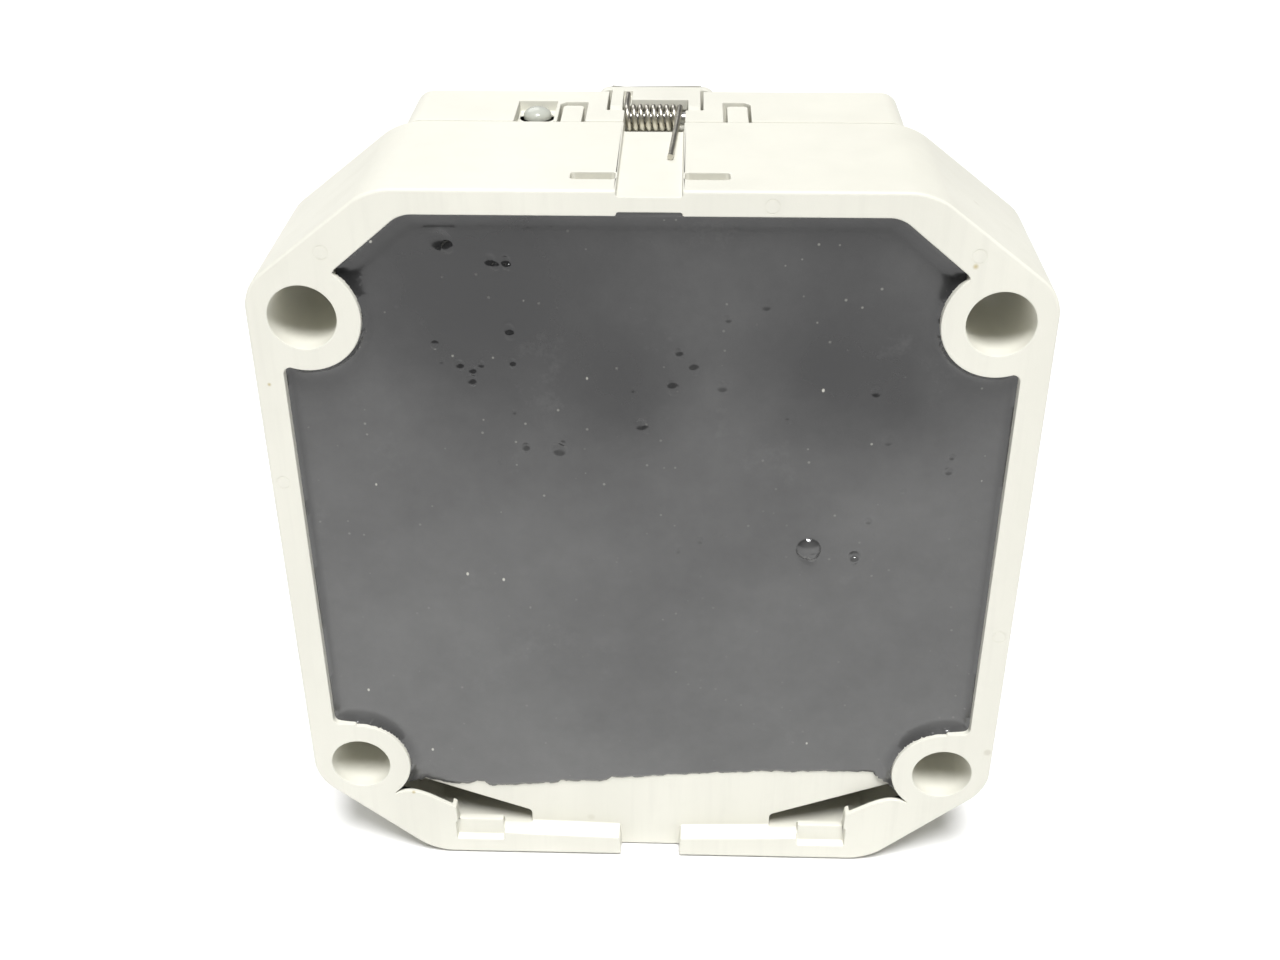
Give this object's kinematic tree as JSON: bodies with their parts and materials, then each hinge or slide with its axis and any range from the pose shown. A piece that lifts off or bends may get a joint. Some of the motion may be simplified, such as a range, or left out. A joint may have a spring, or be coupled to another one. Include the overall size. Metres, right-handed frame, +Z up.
{
  "type": "solid state relay",
  "caption": "Potted panel-mount solid state relay: chamfered square tray with corner bores, screw terminals, sprung flap over dial and button.",
  "frame": {"origin": "centre of the footprint at the lowest edge, with the part standing on its lower wall", "axes": "+Z up towards the spring and lens, -Y out of the potted mounting face at the back, +Y out of the terminals and flap at the front, +X right as seen from the potted side"},
  "size_m": [0.093, 0.04, 0.1],
  "materials": {
    "housing_plastic": "satin moulded thermoplastic, warm pale grey",
    "block_plastic": "satin moulded thermoplastic, light grey",
    "potting_compound": "cast black epoxy with pits, dust and menisci",
    "board_laminate": "green solder mask over glass epoxy",
    "spreader_aluminium": "rolled sheet",
    "black_plastic": "moulded",
    "chip_resin": "moulded resin",
    "capacitor_case": "boxed film capacitor",
    "resistor_lacquer": "lacquered",
    "varistor_coating": "dipped epoxy",
    "dial_plastic": "moulded",
    "button_plastic": "moulded",
    "led_resin": "tinted epoxy",
    "lens_plastic": "clear moulded light pipe",
    "label_film": "printed film, blank",
    "plated_steel": "zinc plated",
    "spring_steel": "drawn wire, slightly tarnished",
    "tinned_brass": "tinned"
  },
  "bodies": {
    "housing": {"rear_housing": "housing_plastic", "potting_fill": "potting_compound", "circuit_board": "board_laminate", "heat_spreader": "spreader_aluminium", "link_header": "black_plastic", "triac_1": "chip_resin", "optocoupler_1": "chip_resin", "snubber_capacitor_1": "capacitor_case", "snubber_resistor_1": "resistor_lacquer", "varistor_1": "varistor_coating", "triac_2": "chip_resin", "optocoupler_2": "chip_resin", "snubber_capacitor_2": "capacitor_case", "snubber_resistor_2": "resistor_lacquer", "varistor_2": "varistor_coating", "front_cover": "housing_plastic", "control_board": "board_laminate", "control_chip": "chip_resin", "setting_potentiometer": "black_plastic", "button_switch": "black_plastic", "indicator_led": "led_resin", "indicator_lens": "lens_plastic", "front_label": "label_film", "flap_hinge_pin": "plated_steel", "flap_torsion_spring": "spring_steel", "terminal_block": "block_plastic", "terminal_lug_1": "tinned_brass", "clamp_washer_1": "plated_steel", "terminal_screw_1": "plated_steel", "terminal_lug_2": "tinned_brass", "clamp_washer_2": "plated_steel", "terminal_screw_2": "plated_steel", "terminal_lug_3": "tinned_brass", "clamp_washer_3": "plated_steel", "terminal_screw_3": "plated_steel", "terminal_lug_4": "tinned_brass", "clamp_washer_4": "plated_steel", "terminal_screw_4": "plated_steel", "terminal_lug_5": "tinned_brass", "clamp_washer_5": "plated_steel", "terminal_screw_5": "plated_steel", "terminal_lug_6": "tinned_brass", "clamp_washer_6": "plated_steel", "terminal_screw_6": "plated_steel"},
    "flap": {"cover_flap": "housing_plastic"},
    "dial": {"setting_dial": "dial_plastic"},
    "button": {"test_button": "button_plastic"}
  },
  "joints": [
    {"name": "flap_hinge", "type": "hinge", "parent": "housing", "child": "flap", "pos_m": [0, 0.01, 0.0983], "axis": [1, 0, 0], "range_deg": [0, 95], "stiffness_Nm_per_rad": 0.012, "springref_deg": -17.19, "deforming": ["flap_torsion_spring"]},
    {"name": "dial_turn", "type": "hinge", "parent": "housing", "child": "dial", "pos_m": [-0.009, 0.011, 0.074], "axis": [0, 1, 0], "range_deg": [-135, 135]},
    {"name": "button_press", "type": "slide", "parent": "housing", "child": "button", "axis": [0, -1, 0], "range_m": [0, 0.001], "stiffness_N_per_m": 600}
  ]
}
